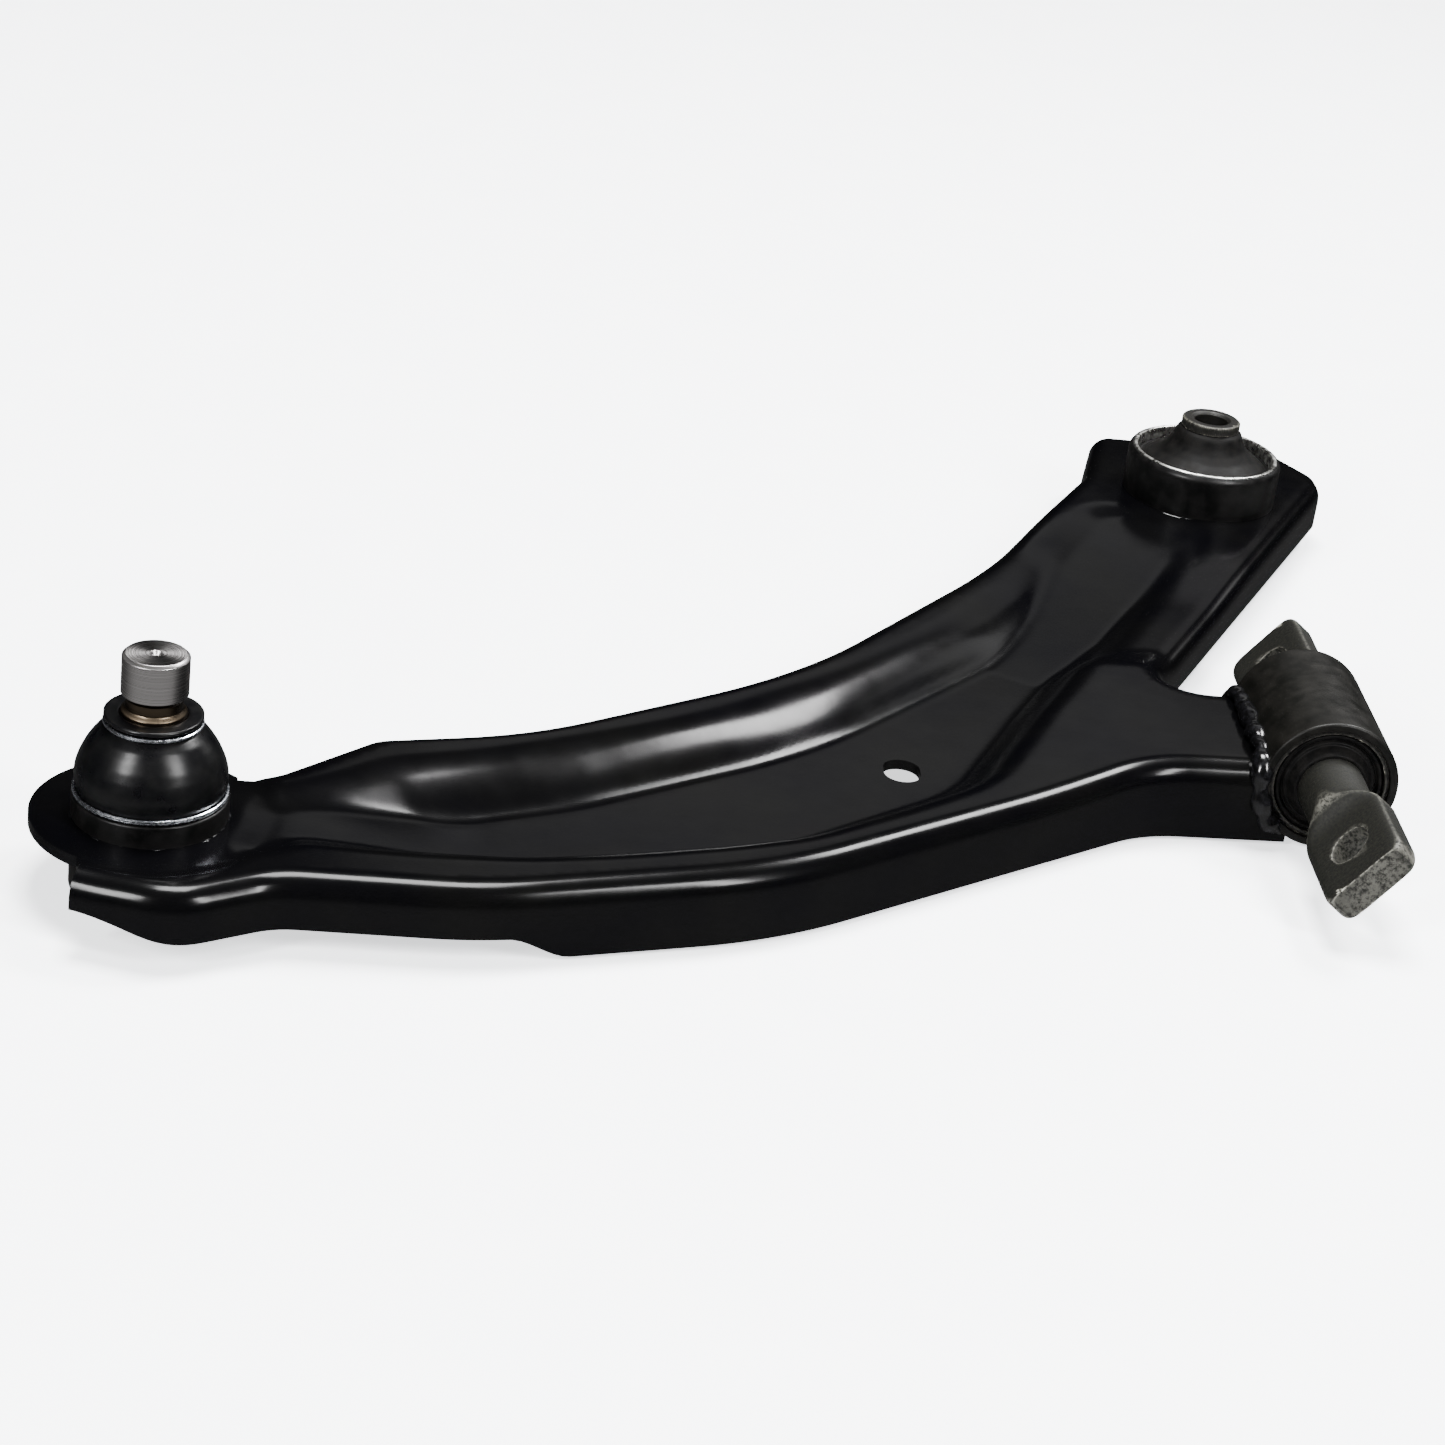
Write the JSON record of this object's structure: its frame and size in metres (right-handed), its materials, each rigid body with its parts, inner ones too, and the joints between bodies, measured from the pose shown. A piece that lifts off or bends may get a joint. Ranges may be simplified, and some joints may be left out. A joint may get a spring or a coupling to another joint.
{
  "type": "suspension control arm",
  "caption": "L-shaped pressed steel front lower control arm with ball joint, vertical rear bush and horizontal front bush with a two-hole bar.",
  "frame": {"origin": "on the axis of the rear bush's bolt hole, at mid height of the arm", "axes": "+Z along the rear bush bore, the way the ball stud points; +Y backwards along the front bush axis; +X towards the vehicle's centre"},
  "size_m": [0.4202, 0.4063, 0.0688],
  "materials": {
    "arm_paint": "semi-gloss black electrocoat",
    "housing_paint": "satin black paint",
    "weld_paint": "glossy painted weld",
    "tube_paint": "satin olive black",
    "bearing_plastic": "moulded acetal",
    "preload_rubber": "moulded ring",
    "turned_steel": "bare turned steel",
    "boot_rubber": "satin moulded rubber",
    "ring_wire": "bright zinc wire",
    "sleeve_steel": "drawn steel",
    "inner_sleeve_steel": "dark phosphated steel",
    "bush_rubber": "matt moulded rubber",
    "phosphated_steel": "rough phosphate"
  },
  "bodies": {
    "arm": {"arm_shell": "arm_paint", "ball_joint_housing": "housing_paint", "ball_housing_weld": "weld_paint", "ball_seat": "bearing_plastic", "ball_preload_ring": "preload_rubber", "ball_joint_cap": "housing_paint", "boot_ring_lower": "ring_wire", "rear_bush_housing": "housing_paint", "rear_bush_weld": "weld_paint", "rear_bush_outer_sleeve": "sleeve_steel", "front_bush_tube": "tube_paint", "front_bush_outer_sleeve": "sleeve_steel", "front_bush_rubber": "bush_rubber", "front_bush_weld_front": "weld_paint", "front_bush_weld_rear": "weld_paint", "front_bush_weld_top": "weld_paint"},
    "boot": {"dust_boot": "boot_rubber"},
    "stud_collar": {"boot_ring_upper": "ring_wire"},
    "stud": {"ball_stud": "turned_steel"},
    "front_bar": {"front_bush_bar": "phosphated_steel"},
    "rear_rubber": {"rear_bush_rubber": "bush_rubber"},
    "rear_sleeve": {"rear_bush_inner_sleeve": "inner_sleeve_steel"}
  },
  "joints": [
    {"name": "ball_tilt_x", "type": "hinge", "parent": "arm", "child": "boot", "pos_m": [-0.3372, -0.3057, -0.009], "axis": [1, 0, 0], "range_deg": [-14, 14], "deforming": ["dust_boot"]},
    {"name": "ball_tilt_y", "type": "hinge", "parent": "boot", "child": "stud_collar", "pos_m": [-0.3372, -0.3057, -0.009], "axis": [0, 1, 0], "range_deg": [-14, 14]},
    {"name": "ball_spin", "type": "hinge", "parent": "stud_collar", "child": "stud", "pos_m": [-0.3372, -0.3057, -0.009], "axis": [0, 0, 1], "continuous": true},
    {"name": "front_bar_twist", "type": "hinge", "parent": "arm", "child": "front_bar", "pos_m": [0.0026, -0.1995, -0.0032], "axis": [0, 1, 0], "range_deg": [-25, 25], "stiffness_Nm_per_rad": 60},
    {"name": "rear_sleeve_tilt", "type": "hinge", "parent": "arm", "child": "rear_rubber", "pos_m": [0, 0, 0], "axis": [0, 1, 0], "range_deg": [-8, 8], "stiffness_Nm_per_rad": 150, "deforming": ["rear_bush_rubber"]},
    {"name": "rear_sleeve_twist", "type": "hinge", "parent": "rear_rubber", "child": "rear_sleeve", "pos_m": [0, 0, 0], "axis": [0, 0, 1], "range_deg": [-12, 12], "stiffness_Nm_per_rad": 80}
  ]
}
